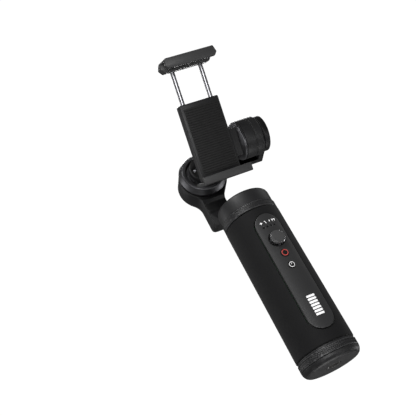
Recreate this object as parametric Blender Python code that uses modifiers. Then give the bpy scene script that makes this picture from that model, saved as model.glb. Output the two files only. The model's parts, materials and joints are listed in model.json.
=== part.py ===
"""Handheld three-axis phone gimbal: a round grip, pan, roll and tilt motors, an arm and a phone clamp.

The origin is the centre of the grip's flat base, on the pan axis. +Z runs up the grip, +X to the right of a
person looking at the control panel, and +Y away from that person. All sizes are in metres.
"""

import math

import bmesh
import bpy
from mathutils import Matrix, Vector

MM = 0.001
FIT_GAP = 0.3 * MM  # air between two pieces that meet

# Grip
GRIP_RADIUS = 18.0 * MM
GRIP_WALL = 2.2 * MM
BASE_FACE_RADIUS = 15.6 * MM
CAP_TOP = 9.0 * MM  # where the bottom cap ends and the grip shell starts
SHELL_TOP = 98.3 * MM
PAN_SEAM = 98.9 * MM  # where the turning cap starts
PAN_CAP_TOP = 113.2 * MM
PAN_CAP_RADIUS = 17.4 * MM
BELT_RADIUS = 17.9 * MM  # the knurled belt at the foot of the turning cap
BELT_TOP = 103.2 * MM
PAN_RIM_RADIUS = 15.6 * MM

# Control panel, on a face turned a little to the right of -Y
PANEL_YAW = math.radians(3.0)
PANEL_WIDTH = 15.8 * MM
PANEL_BOTTOM = 16.5 * MM
PANEL_TOP = 93.0 * MM
PANEL_PROUD = 0.5 * MM
PANEL_THICKNESS = 2.3 * MM
JOYSTICK_HEIGHT = 74.9 * MM
JOYSTICK_PIVOT = 13.5 * MM  # distance of the stick's pivot from the grip's axis
JOYSTICK_HOLE = 4.9 * MM
RECORD_HEIGHT = 65.1 * MM
RECORD_RADIUS = 2.2 * MM
POWER_HEIGHT = 56.9 * MM
POWER_RADIUS = 1.95 * MM
LIGHT_HEIGHT = 84.2 * MM
LIGHT_PITCH = 2.4 * MM
LIGHT_COUNT = 4
BOARD_FACE = -11.2 * MM  # the front face of the key board

# Arm and roll motor; the roll axis runs along Y and crosses the pan axis
ROLL_HEIGHT = 165.2 * MM
MOTOR_RADIUS = 17.0 * MM
RING_FRONT = 34.6 * MM
RING_BACK = 40.2 * MM
CUP_FRONT = 40.6 * MM
CUP_BACK = 54.5 * MM
NECK_HALF_WIDTH = 8.2 * MM
NECK_FRONT = 42.5 * MM
NECK_FILLET = 10.7 * MM
HEAD_RADIUS = 17.3 * MM
HEAD_HEIGHT = ROLL_HEIGHT - 1.0 * MM  # the head's outline sits a little below the roll axis
ELBOW_CORNER = 3.8 * MM
LINK_HALF_WIDTH = 7.7 * MM
ELBOW_BOTTOM = 125.2 * MM
FOOT_END = 19.2 * MM  # where the link leaves the turning cap

# Tilt motor and clamp; the tilt axis runs along X and crosses the roll axis
TILT_DEPTH = 11.2 * MM  # how far behind the pan axis the tilt axis lies
TILT_RADIUS = 13.5 * MM
TILT_ROTOR_FACE = 21.0 * MM
TILT_SPLIT = 25.4 * MM
TILT_END = 39.0 * MM
REST_TILT = math.radians(32.6)  # the clamp leans forward by this much at rest
CLAMP_CENTRE = 2.0 * MM
CLAMP_WIDTH = 34.0 * MM
PHONE_BACK = 15.35 * MM  # from the tilt axis to the back of the phone
PHONE_THICKNESS = 7.3 * MM
PHONE_WIDTH = 77.9 * MM
PHONE_BOTTOM = -17.55 * MM  # the phone's lower edge below the tilt axis
JAW_LIP = 3.0 * MM
LIP_GAP = 0.4 * MM  # air between the phone's front and a jaw's lip
PAD = 0.8 * MM
ROD_RADIUS = 1.5 * MM
ROD_SPACING = 20.0 * MM

BIG = 40  # sides of a large round piece
SMALL = 24  # sides of a small round piece

BLACK_SOFT = ("soft_touch_black", (0.016, 0.016, 0.017), 0.55, 0.0)
BLACK_PLASTIC = ("black_plastic", (0.020, 0.020, 0.021), 0.45, 0.0)
PANEL_BLACK = ("panel_black", (0.035, 0.035, 0.036), 0.35, 0.0)
DARK_ALUMINIUM = ("dark_aluminium", (0.10, 0.10, 0.11), 0.30, 1.0)
BRIGHT_STEEL = ("bright_steel", (0.60, 0.60, 0.62), 0.25, 1.0)
COPPER = ("copper_winding", (0.55, 0.25, 0.12), 0.35, 1.0)
MAGNET = ("magnet_nickel", (0.45, 0.44, 0.42), 0.30, 1.0)
RUBBER = ("grip_rubber", (0.025, 0.025, 0.025), 0.80, 0.0)
CIRCUIT = ("circuit_green", (0.02, 0.10, 0.04), 0.50, 0.0)
BATTERY_WRAP = ("battery_wrap", (0.05, 0.20, 0.45), 0.40, 0.0)
LIGHT_PIPE = ("light_pipe", (0.75, 0.85, 0.95), 0.20, 0.0)
BRASS = ("brass_insert", (0.60, 0.45, 0.20), 0.30, 1.0)


def clear_scene():
    for item in list(bpy.data.objects):
        bpy.data.objects.remove(item, do_unlink=True)


def new_collection(name):
    collection = bpy.data.collections.new(name)
    bpy.context.scene.collection.children.link(collection)
    return collection


clear_scene()
PARTS = new_collection("phone_gimbal")
CUTTERS = new_collection("cutters")


def axis_empty(name, place):
    """An empty whose frame the pieces on it are drawn in."""
    empty = bpy.data.objects.new(name, None)
    empty.empty_display_size = 10 * MM
    empty.matrix_world = place
    PARTS.objects.link(empty)
    return empty


ROOT = axis_empty("pan_axis", Matrix.Identity(4))
PANEL = axis_empty("panel_face", Matrix.Rotation(PANEL_YAW, 4, "Z"))
OUTWARD = Matrix.Rotation(math.pi / 2, 4, "X")  # turns a piece's own +Z to point out of the panel
ROLL = axis_empty("roll_axis", Matrix.Translation((0, 0, ROLL_HEIGHT)) @ OUTWARD)
TILT = axis_empty(
    "tilt_axis", Matrix.Translation((0, TILT_DEPTH, ROLL_HEIGHT)) @ Matrix.Rotation(math.pi / 2, 4, "Y")
)
CLAMP = axis_empty(
    "clamp_frame", Matrix.Translation((0, TILT_DEPTH, ROLL_HEIGHT)) @ Matrix.Rotation(REST_TILT, 4, "X")
)
SIDE_ON = Matrix(((0, 0, 1, 0), (1, 0, 0, 0), (0, 1, 0, 0), (0, 0, 0, 1)))  # draws an outline in Y and Z


def material(look):
    name, colour, roughness, metallic = look
    found = bpy.data.materials.get(name)
    if found:
        return found
    made = bpy.data.materials.new(name)
    made.use_nodes = True
    shader = made.node_tree.nodes["Principled BSDF"]
    shader.inputs["Base Color"].default_value = (*colour, 1.0)
    shader.inputs["Roughness"].default_value = roughness
    shader.inputs["Metallic"].default_value = metallic
    return made


def place_object(name, mesh, look, frame, local):
    """Makes the mesh an object in a frame; with no look it is a cutter."""
    item = bpy.data.objects.new(name, mesh)
    item.parent = frame
    item.matrix_local = local
    if look is None:
        CUTTERS.objects.link(item)
        item.hide_render = True
        item.display_type = "WIRE"
    else:
        PARTS.objects.link(item)
        mesh.materials.append(material(look))
        mesh.shade_smooth()
        mesh.set_sharp_from_angle(angle=math.radians(35))
    return item


def mesh_from(build, name):
    shape = bmesh.new()
    build(shape)
    mesh = bpy.data.meshes.new(name)
    shape.to_mesh(mesh)
    shape.free()
    return mesh


def box(name, low, high, look=None, frame=ROOT, local=Matrix.Identity(4), bevel=0.0):
    """A block between two corners, with its edges rounded by bevel."""
    low, high = Vector(low), Vector(high)

    def build(shape):
        place = Matrix.Translation((low + high) / 2) @ Matrix.Diagonal((*(high - low), 1))
        bmesh.ops.create_cube(shape, size=1.0, matrix=place)

    item = place_object(name, mesh_from(build, name), look, frame, local)
    if bevel:
        rounded = item.modifiers.new("Rounded edges", "BEVEL")
        rounded.width = bevel
        rounded.segments = 2
    return item


def rod(name, radius, start, end, look=None, frame=ROOT, local=Matrix.Identity(4), sides=SMALL):
    """A cylinder round the frame's Z, from start to end."""

    def build(shape):
        bmesh.ops.create_cone(
            shape, cap_ends=True, segments=sides, radius1=radius, radius2=radius, depth=end - start,
            matrix=Matrix.Translation((0, 0, (start + end) / 2)),
        )

    return place_object(name, mesh_from(build, name), look, frame, local)


def turned(name, profile, look=None, frame=ROOT, local=Matrix.Identity(4), sides=BIG, ring=False):
    """A profile of (radius, height) turned round Z; a ring's is closed, any other ends on the axis."""
    mesh = bpy.data.meshes.new(name)
    points = [(radius, 0, height) for radius, height in profile]
    edges = [(i, i + 1) for i in range(len(points) - 1)]
    if ring:
        edges.append((len(points) - 1, 0))
    mesh.from_pydata(points, edges, [])
    item = place_object(name, mesh, look, frame, local)
    screw = item.modifiers.new("Turn", "SCREW")
    screw.axis = "Z"
    screw.steps = screw.render_steps = sides
    screw.use_merge_vertices = True
    screw.merge_threshold = 0.000001
    screw.use_smooth_shade = True
    return item


def arc(centre, radius, first, last, steps):
    """Points along an arc, angles in degrees."""
    return [
        (centre[0] + radius * math.cos(math.radians(a)), centre[1] + radius * math.sin(math.radians(a)))
        for a in (first + (last - first) * i / steps for i in range(steps + 1))
    ]


def plate(name, outline, low, high, look=None, frame=ROOT, local=Matrix.Identity(4), bevel=0.0):
    """A flat outline in XY, from low to high along Z."""
    flat = bpy.data.curves.new(name + "_outline", "CURVE")
    flat.dimensions = "2D"
    flat.fill_mode = "BOTH"
    flat.extrude = (high - low) / 2
    spline = flat.splines.new("POLY")
    spline.points.add(len(outline) - 1)
    for point, (x, y) in zip(spline.points, outline):
        point.co = (x, y, 0, 1)
    spline.use_cyclic_u = True
    drawn = bpy.data.objects.new(name + "_outline", flat)
    CUTTERS.objects.link(drawn)
    bpy.context.view_layer.update()
    mesh = bpy.data.meshes.new_from_object(drawn.evaluated_get(bpy.context.evaluated_depsgraph_get()))
    bpy.data.objects.remove(drawn, do_unlink=True)
    mesh.materials.clear()
    shape = bmesh.new()
    shape.from_mesh(mesh)
    bmesh.ops.remove_doubles(shape, verts=shape.verts, dist=0.000001)
    bmesh.ops.translate(shape, verts=shape.verts, vec=(0, 0, (low + high) / 2))
    bmesh.ops.recalc_face_normals(shape, faces=shape.faces)
    shape.to_mesh(mesh)
    shape.free()
    item = place_object(name, mesh, look, frame, local)
    if bevel:
        rounded = item.modifiers.new("Rounded edges", "BEVEL")
        rounded.width = bevel
        rounded.segments = 2
        rounded.limit_method = "ANGLE"
        rounded.angle_limit = math.radians(50)
    return item


def boolean(item, other, operation="DIFFERENCE"):
    cut = item.modifiers.new(operation.title(), "BOOLEAN")
    cut.operation = operation
    cut.solver = "EXACT"
    cut.object = other


def stadium(width, bottom, top, steps=10):
    """A slot outline with round ends, upright."""
    radius = width / 2
    return arc((0, bottom + radius), radius, 180, 360, steps) + arc((0, top - radius), radius, 0, 180, steps)


def tube_profile(outer, inner, low, high):
    return [(outer, high), (outer, low), (inner, low), (inner, high)]


def bearing(name, outer, bore, low, high, frame, local=Matrix.Identity(4)):
    """A ball bearing, its two races drawn as one ring with a groove between them."""
    middle, groove, depth = (outer + bore) / 2, 0.25 * MM, 0.4 * MM
    profile = [
        (middle + groove, high), (outer, high), (outer, low), (bore, low), (bore, high),
        (middle - groove, high), (middle - groove, high - depth), (middle + groove, high - depth),
    ]
    return turned(name, profile, BRIGHT_STEEL, frame, local, 16, ring=True)


# --- Grip ------------------------------------------------------------------------------------------------
SHELL_INNER = GRIP_RADIUS - GRIP_WALL


def build_bottom_cap():
    profile = [
        (0, 7.9 * MM), (5.2 * MM, 7.9 * MM), (5.2 * MM, 12.5 * MM),
        (SHELL_INNER - FIT_GAP, 12.5 * MM), (SHELL_INNER - FIT_GAP, CAP_TOP),
        (GRIP_RADIUS - 0.8 * MM, CAP_TOP), (GRIP_RADIUS - 0.8 * MM, 8.1 * MM), (GRIP_RADIUS, 7.9 * MM),
        (GRIP_RADIUS, 3.6 * MM), (GRIP_RADIUS - 0.5 * MM, 2.0 * MM), (GRIP_RADIUS - 1.3 * MM, 0.7 * MM),
        (BASE_FACE_RADIUS, 0), (4.6 * MM, 0), (4.6 * MM, 7.0 * MM), (0, 7.0 * MM),
    ]
    turned("bottom_cap", profile, BLACK_PLASTIC)
    insert = [
        (0, 6.7 * MM), (4.3 * MM, 6.7 * MM), (4.3 * MM, 0.2 * MM), (3.6 * MM, 0.2 * MM),
        (2.75 * MM, 1.0 * MM), (2.75 * MM, 6.0 * MM), (0, 6.0 * MM),
    ]
    turned("tripod_insert", insert, BRASS, sides=SMALL)


def build_shell():
    shell = turned(
        "handle_shell", [
            (GRIP_RADIUS - 0.4 * MM, SHELL_TOP), (GRIP_RADIUS, SHELL_TOP - 0.4 * MM),
            (GRIP_RADIUS, CAP_TOP + 0.7 * MM), (GRIP_RADIUS - 0.4 * MM, CAP_TOP + FIT_GAP),
            (SHELL_INNER, CAP_TOP + FIT_GAP), (SHELL_INNER, SHELL_TOP),
        ], BLACK_SOFT, ring=True,
    )
    window = stadium(PANEL_WIDTH + 2 * FIT_GAP, PANEL_BOTTOM - FIT_GAP, PANEL_TOP + FIT_GAP)
    boolean(shell, plate("panel_window", window, 10 * MM, 22 * MM, None, PANEL, OUTWARD))
    socket = [(-4.6 * MM, 22 * MM), (4.6 * MM, 22 * MM), (4.6 * MM, 25.6 * MM), (-4.6 * MM, 25.6 * MM)]
    boolean(shell, plate("port_window", socket, -22 * MM, -12 * MM, None, PANEL, OUTWARD))


def panel_cutter(name, radius, height, sides=SMALL):
    place = Matrix.Translation((0, 0, height)) @ OUTWARD
    return rod(name, radius, 10 * MM, 24 * MM, None, PANEL, place, sides)


def light_places():
    middle = (LIGHT_COUNT - 1) / 2
    return [(i - middle) * LIGHT_PITCH for i in range(LIGHT_COUNT)]


def build_panel():
    outer = GRIP_RADIUS + PANEL_PROUD
    inner = outer - PANEL_THICKNESS
    panel = turned(
        "control_panel", tube_profile(outer, inner, PANEL_BOTTOM - 2 * MM, PANEL_TOP + 2 * MM),
        PANEL_BLACK, PANEL, sides=96, ring=True,
    )
    outline = stadium(PANEL_WIDTH, PANEL_BOTTOM, PANEL_TOP)
    boolean(panel, plate("panel_outline", outline, 10 * MM, 24 * MM, None, PANEL, OUTWARD), "INTERSECT")
    boolean(panel, panel_cutter("joystick_hole", JOYSTICK_HOLE, JOYSTICK_HEIGHT, 32))
    boolean(panel, panel_cutter("record_hole", RECORD_RADIUS + FIT_GAP, RECORD_HEIGHT))
    boolean(panel, panel_cutter("power_hole", POWER_RADIUS + FIT_GAP, POWER_HEIGHT))
    low, high = LIGHT_HEIGHT - 0.9 * MM, LIGHT_HEIGHT + 0.9 * MM
    guide = box("light_guide", (-4.6 * MM, -15 * MM, low), (4.6 * MM, -13.6 * MM, high), LIGHT_PIPE, PANEL)
    for i, across in enumerate(light_places()):
        place = Matrix.Translation((across, 0, LIGHT_HEIGHT)) @ OUTWARD
        boolean(panel, rod(f"light_hole_{i}", 0.75 * MM, 10 * MM, 24 * MM, None, PANEL, place, 12))
        top = math.sqrt(outer ** 2 - across ** 2) - 0.1 * MM
        boolean(guide, rod(f"light_peg_{i}", 0.45 * MM, 14.2 * MM, top, None, PANEL, place, 12), "UNION")


def build_button(name, radius, height):
    """A round key with a flange that keeps it behind the panel, and the switch it presses."""
    top = GRIP_RADIUS + PANEL_PROUD + 0.35 * MM
    profile = [
        (0, top), (radius - 0.5 * MM, top - 0.05 * MM), (radius, top - 0.35 * MM), (radius, 15.5 * MM),
        (radius + 0.8 * MM, 15.5 * MM), (radius + 0.8 * MM, 14.9 * MM), (0, 14.9 * MM),
    ]
    place = Matrix.Translation((0, 0, height)) @ OUTWARD
    turned(name + "_button", profile, PANEL_BLACK, PANEL, place, SMALL)
    half = 1.75 * MM
    box(
        name + "_switch", (-half, -14.2 * MM, height - half), (half, BOARD_FACE - FIT_GAP, height + half),
        BLACK_PLASTIC, PANEL,
    )


def build_joystick():
    place = Matrix.Translation((0, 0, JOYSTICK_HEIGHT)) @ OUTWARD
    base_top, base_floor = 15.7 * MM, -BOARD_FACE + FIT_GAP
    base = [
        (0, base_floor + 0.4 * MM), (4.0 * MM, base_floor + 0.4 * MM), (4.0 * MM, base_top),
        (4.9 * MM, base_top), (4.9 * MM, base_floor), (0, base_floor),
    ]
    turned("joystick_base", base, BLACK_PLASTIC, PANEL, place, SMALL)
    yoke = tube_profile(3.5 * MM, 2.3 * MM, JOYSTICK_PIVOT - 0.8 * MM, JOYSTICK_PIVOT + 0.8 * MM)
    turned("joystick_yoke", yoke, BRIGHT_STEEL, PANEL, place, SMALL, ring=True)
    ball = 1.3 * MM
    stem = 1.1 * MM
    skirt, dome = 19.2 * MM, 21.7 * MM
    cap = 3.95 * MM
    profile = [
        (0, dome), (1.6 * MM, dome - 0.12 * MM), (2.8 * MM, dome - 0.45 * MM), (3.5 * MM, dome - 0.95 * MM),
        (cap, dome - 1.6 * MM), (cap, skirt + 0.3 * MM), (cap - 0.3 * MM, skirt), (stem, skirt),
    ]
    neck = math.degrees(math.acos(stem / ball))
    profile += arc((0, JOYSTICK_PIVOT), ball, neck, -90, 6)
    profile[-1] = (0, JOYSTICK_PIVOT - ball)
    turned("joystick", profile, PANEL_BLACK, PANEL, place, SMALL)


def build_inside_of_grip():
    key_low, key_high = 20 * MM, 90 * MM
    half, back = 6.6 * MM, BOARD_FACE + 1 * MM
    box("key_board", (-half, BOARD_FACE, key_low), (half, back, key_high), CIRCUIT, PANEL)
    box("main_board", (-9.5 * MM, -8.2 * MM, 14 * MM), (9.5 * MM, -7.0 * MM, 84 * MM), CIRCUIT, PANEL)
    cell = Matrix.Translation((0, 3.6 * MM, 0))
    battery = [
        (0, 82 * MM), (2.8 * MM, 82 * MM), (2.8 * MM, 81 * MM), (8.8 * MM, 81 * MM), (9.2 * MM, 80.4 * MM),
        (9.2 * MM, 17.4 * MM), (8.8 * MM, 16.8 * MM), (0, 16.8 * MM),
    ]
    turned("battery", battery, BATTERY_WRAP, ROOT, cell, 32)
    for name, low in (("battery_contact_minus", 15.4 * MM), ("battery_contact_plus", 82.4 * MM)):
        rod(name, 7.5 * MM, low, low + 0.8 * MM, BRIGHT_STEEL, ROOT, cell, SMALL)
    outer = [(-4.2 * MM, 22.4 * MM), (4.2 * MM, 22.4 * MM), (4.2 * MM, 25.2 * MM), (-4.2 * MM, 25.2 * MM)]
    port = plate("charge_port", outer, -17.6 * MM, -13.2 * MM, BRIGHT_STEEL, PANEL, OUTWARD)
    inner = [(-3.7 * MM, 22.8 * MM), (3.7 * MM, 22.8 * MM), (3.7 * MM, 24.8 * MM), (-3.7 * MM, 24.8 * MM)]
    boolean(port, plate("port_mouth", inner, -19 * MM, -13.8 * MM, None, PANEL, OUTWARD))


def build_pan_motor():
    flange_low, flange_high = 93.8 * MM, 97.2 * MM
    tube_outer, tube_inner, tube_low, tube_high = 5.4 * MM, 4.3 * MM, 86.5 * MM, 108.6 * MM
    turned(
        "pan_motor_base", [
            (tube_outer, tube_high), (tube_outer, flange_high), (SHELL_INNER - FIT_GAP, flange_high),
            (SHELL_INNER - FIT_GAP, flange_low), (tube_outer, flange_low), (tube_outer, tube_low),
            (tube_inner, tube_low), (tube_inner, tube_high),
        ], DARK_ALUMINIUM, ring=True,
    )
    turned("pan_stator", tube_profile(12.3 * MM, 5.7 * MM, 100 * MM, 108 * MM), COPPER, ring=True)
    bearing("pan_bearing_lower", 4.0 * MM, 2.5 * MM, 87.5 * MM, 90.5 * MM, ROOT)
    bearing("pan_bearing_upper", 4.0 * MM, 2.5 * MM, 105 * MM, 108 * MM, ROOT)
    rod("pan_shaft", 2.2 * MM, 86.6 * MM, 110.9 * MM, BRIGHT_STEEL)
    turned("pan_magnet_ring", tube_profile(15.0 * MM, 12.9 * MM, 99.8 * MM, 109 * MM), MAGNET, ring=True)
    inside, ceiling = 15.3 * MM, 109.6 * MM
    shoulder = PAN_CAP_TOP - 2.6 * MM
    turned(
        "pan_cap", [
            (0, PAN_CAP_TOP), (PAN_RIM_RADIUS, PAN_CAP_TOP), (16.6 * MM, PAN_CAP_TOP - 0.5 * MM),
            (17.2 * MM, PAN_CAP_TOP - 1.4 * MM), (PAN_CAP_RADIUS, shoulder),
            (PAN_CAP_RADIUS, BELT_TOP + 0.3 * MM), (BELT_RADIUS, BELT_TOP),
            (BELT_RADIUS, PAN_SEAM + 0.2 * MM),
            (BELT_RADIUS - 0.3 * MM, PAN_SEAM), (inside, PAN_SEAM), (inside, ceiling), (2.5 * MM, ceiling),
            (2.5 * MM, 111.2 * MM), (0, 111.2 * MM),
        ], BLACK_PLASTIC,
    )


# --- Arm and roll motor ----------------------------------------------------------------------------------
def upright_front_outline():
    """The upright seen from the front, in X and Z: a round head, hollow shoulders and a neck."""
    reach = HEAD_RADIUS + NECK_FILLET
    across = NECK_HALF_WIDTH + NECK_FILLET
    drop = math.sqrt(reach ** 2 - across ** 2)
    meet = math.degrees(math.atan2(-drop, across))
    corner = ELBOW_CORNER
    side, low = NECK_HALF_WIDTH - corner, ELBOW_BOTTOM + corner
    right = arc((across, HEAD_HEIGHT - drop), NECK_FILLET, 180, 180 + meet, 6)
    head = arc((0, HEAD_HEIGHT), HEAD_RADIUS, meet, 180 - meet, 34)
    left = arc((-across, HEAD_HEIGHT - drop), NECK_FILLET, -meet, 0, 6)
    foot_right = arc((side, low), corner, -90, 0, 4)
    foot_left = arc((-side, low), corner, 180, 270, 4)
    return foot_right + right + head[1:-1] + left + foot_left


def upright_side_outline():
    """The upright seen from the side, in Y and Z, with a rounded elbow and crown."""
    top = HEAD_HEIGHT + HEAD_RADIUS + 1 * MM
    elbow = arc((CUP_BACK - 4 * MM, ELBOW_BOTTOM + 4 * MM), 4 * MM, -90, 0, 4)
    crown = arc((CUP_BACK - 3 * MM, top - 4 * MM), 3 * MM, 0, 90, 3)
    shoulder = HEAD_HEIGHT - HEAD_RADIUS - 0.8 * MM
    return (
        [(NECK_FRONT, ELBOW_BOTTOM)] + elbow + crown
        + [(CUP_FRONT, top - 1 * MM), (CUP_FRONT, shoulder), (NECK_FRONT, shoulder - 2 * MM)]
    )


def link_side_outline():
    """The link from the turning cap to the elbow, in Y and Z: flat on the cap, then rising backward."""
    foot, deck = PAN_CAP_TOP + FIT_GAP, 117.8 * MM
    inner = arc((NECK_FRONT - 8 * MM, 140 * MM), 8 * MM, 0, -55, 4)
    return (
        [(-6 * MM, foot), (FOOT_END, foot), (NECK_FRONT, ELBOW_BOTTOM + 0.4 * MM)]
        + [(NECK_FRONT + 4 * MM, ELBOW_BOTTOM + 0.4 * MM), (NECK_FRONT + 4 * MM, 140 * MM)]
        + inner + [(25 * MM, deck), (-5.4 * MM, deck), (-6 * MM, deck - 0.6 * MM)]
    )


def build_arm():
    low, high = -CUP_BACK - 1 * MM, -CUP_FRONT + 1 * MM
    arm = plate("arm_bracket", upright_front_outline(), low, high, BLACK_PLASTIC, ROOT, OUTWARD)
    side = plate("upright_side", upright_side_outline(), -20 * MM, 20 * MM, None, ROOT, SIDE_ON)
    boolean(arm, side, "INTERSECT")
    link = plate("arm_link", link_side_outline(), -LINK_HALF_WIDTH, LINK_HALF_WIDTH, None, ROOT, SIDE_ON)
    boolean(arm, link, "UNION")
    cavity = turned(
        "roll_cavity", [
            (14.6 * MM, -39 * MM), (14.6 * MM, -51.6 * MM), (4.7 * MM, -51.6 * MM), (4.7 * MM, -39 * MM),
        ], None, ROLL, ring=True,
    )
    boolean(arm, cavity)
    boolean(arm, rod("roll_bore", 3.6 * MM, -52.6 * MM, -30 * MM, None, ROLL))
    boolean(arm, rod("roll_tube_trim", 6 * MM, -43.2 * MM, -30 * MM, None, ROLL))
    pocket = stadium(10.6 * MM, 130.5 * MM, 148.2 * MM)
    pocket_floor = -CUP_BACK + 4.5 * MM
    boolean(arm, plate("cable_pocket", pocket, -CUP_BACK - 1 * MM, pocket_floor, None, ROOT, OUTWARD))
    cover = stadium(10.6 * MM - 2 * FIT_GAP, 130.5 * MM + FIT_GAP, 148.2 * MM - FIT_GAP)
    plate("arm_cover", cover, -CUP_BACK, -CUP_BACK + 1.2 * MM, BLACK_PLASTIC, ROOT, OUTWARD)
    for i, along in enumerate((-1.5 * MM, 9.5 * MM)):
        place = Matrix.Translation((0, along, 0))
        boolean(arm, rod(f"arm_screw_seat_{i}", 2.3 * MM, 115.4 * MM, 124 * MM, None, ROOT, place))
        head = [
            (0, 116.5 * MM), (1.0 * MM, 116.5 * MM), (1.0 * MM, 117.4 * MM), (1.9 * MM, 117.4 * MM),
            (1.9 * MM, 115.7 * MM), (0, 115.7 * MM),
        ]
        turned(f"arm_screw_{i + 1}", head, BRIGHT_STEEL, ROOT, place, 16)


def build_roll_motor():
    turned("roll_stator", tube_profile(11.6 * MM, 5.0 * MM, -50.6 * MM, -44 * MM), COPPER, ROLL, ring=True)
    bearing("roll_bearing", 3.3 * MM, 2.1 * MM, -47.5 * MM, -45 * MM, ROLL)
    rod("roll_shaft", 1.8 * MM, -51.8 * MM, -39.0 * MM, BRIGHT_STEEL, ROLL)
    magnets = tube_profile(14.1 * MM, 12.2 * MM, -50.6 * MM, -42 * MM)
    turned("roll_magnet_ring", magnets, MAGNET, ROLL, ring=True)
    face, back = -RING_FRONT, -RING_BACK
    lip, floor = 11.6 * MM, -37.4 * MM
    turned(
        "roll_ring", [
            (0, floor), (lip, floor), (lip + 0.5 * MM, face - 0.5 * MM), (lip + 1.0 * MM, face),
            (14.7 * MM, face), (15.2 * MM, face - 0.5 * MM),
            (MOTOR_RADIUS, -38.6 * MM), (MOTOR_RADIUS, back),
            (14.1 * MM, back), (14.1 * MM, back - 1.5 * MM), (12.4 * MM, back - 1.5 * MM), (12.4 * MM, back),
            (2.1 * MM, back), (2.1 * MM, -38.7 * MM), (0, -38.7 * MM),
        ], DARK_ALUMINIUM, ROLL,
    )


def build_roll_bracket():
    """Runs from the roll motor to the right, then forward to the far end of the tilt motor."""
    low, high = ROLL_HEIGHT - 8 * MM, ROLL_HEIGHT + 8 * MM
    wall, outer = TILT_END + FIT_GAP, TILT_END + 4.3 * MM
    back, front = 37.1 * MM, 29.8 * MM
    bar_back = RING_FRONT - 0.5 * MM
    bracket = rod("roll_bracket", 9.8 * MM, -back, -front, BLACK_PLASTIC, ROLL, sides=32)
    bar = box("bracket_bar", (0, front, low), (outer, bar_back, high), None)
    boolean(bracket, bar, "UNION")
    sliver = 0.01 * MM
    cheek_end = (outer - sliver, bar_back - sliver, high - sliver)
    cheek = box("bracket_cheek", (wall, TILT_DEPTH, low + sliver), cheek_end)
    boolean(bracket, cheek, "UNION")
    end = rod("bracket_end", TILT_RADIUS - 1 * MM, wall, outer - 0.01 * MM, None, TILT, sides=32)
    boolean(bracket, end, "UNION")
    for i, turn in enumerate((60, 180, 300)):
        x, z = 6.5 * MM * math.cos(math.radians(turn)), 6.5 * MM * math.sin(math.radians(turn))
        place = Matrix.Translation((x, 0, ROLL_HEIGHT + z)) @ OUTWARD
        seat = -front - 1.8 * MM
        hole = rod(f"bracket_screw_seat_{i}", 1.6 * MM, seat, seat + 4 * MM, None, ROOT, place, 16)
        boolean(bracket, hole)
        head = [
            (0, -front - 0.9 * MM), (0.6 * MM, -front - 0.9 * MM), (0.6 * MM, -front - 0.2 * MM),
            (1.25 * MM, -front - 0.2 * MM), (1.25 * MM, -front - 1.5 * MM), (0, -front - 1.5 * MM),
        ]
        turned(f"bracket_screw_{i + 1}", head, BRIGHT_STEEL, ROOT, place, 12)


# --- Tilt motor and clamp --------------------------------------------------------------------------------
def build_tilt_motor():
    radius = TILT_RADIUS
    turned(
        "tilt_housing", [
            (0, TILT_END), (radius - 1.2 * MM, TILT_END), (radius, TILT_END - 1.2 * MM),
            (radius, TILT_SPLIT + FIT_GAP), (11.9 * MM, TILT_SPLIT + FIT_GAP), (11.9 * MM, 36.4 * MM),
            (4.5 * MM, 36.4 * MM), (4.5 * MM, 28.2 * MM),
            (3.5 * MM, 28.2 * MM), (3.5 * MM, 37.2 * MM), (0, 37.2 * MM),
        ], BLACK_PLASTIC, TILT,
    )
    windings = tube_profile(9.2 * MM, 4.8 * MM, 29 * MM, 35.6 * MM)
    turned("tilt_stator", windings, COPPER, TILT, ring=True, sides=SMALL)
    bearing("tilt_bearing", 3.2 * MM, 2.0 * MM, 29.5 * MM, 32 * MM, TILT)
    rod("tilt_shaft", 1.7 * MM, 24.2 * MM, 36.6 * MM, BRIGHT_STEEL, TILT)
    magnets = tube_profile(11.4 * MM, 9.7 * MM, 26.6 * MM, 35.6 * MM)
    turned("tilt_magnet_ring", magnets, MAGNET, TILT, ring=True, sides=SMALL)
    turned(
        "tilt_rotor", [
            (0, TILT_SPLIT - 1.6 * MM), (2.0 * MM, TILT_SPLIT - 1.6 * MM), (2.0 * MM, TILT_SPLIT),
            (radius, TILT_SPLIT), (radius, TILT_SPLIT - 1.6 * MM), (radius - 2 * MM, TILT_ROTOR_FACE),
            (0, TILT_ROTOR_FACE),
        ], DARK_ALUMINIUM, TILT,
    )


def clamp_x(offset):
    return CLAMP_CENTRE + offset


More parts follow.
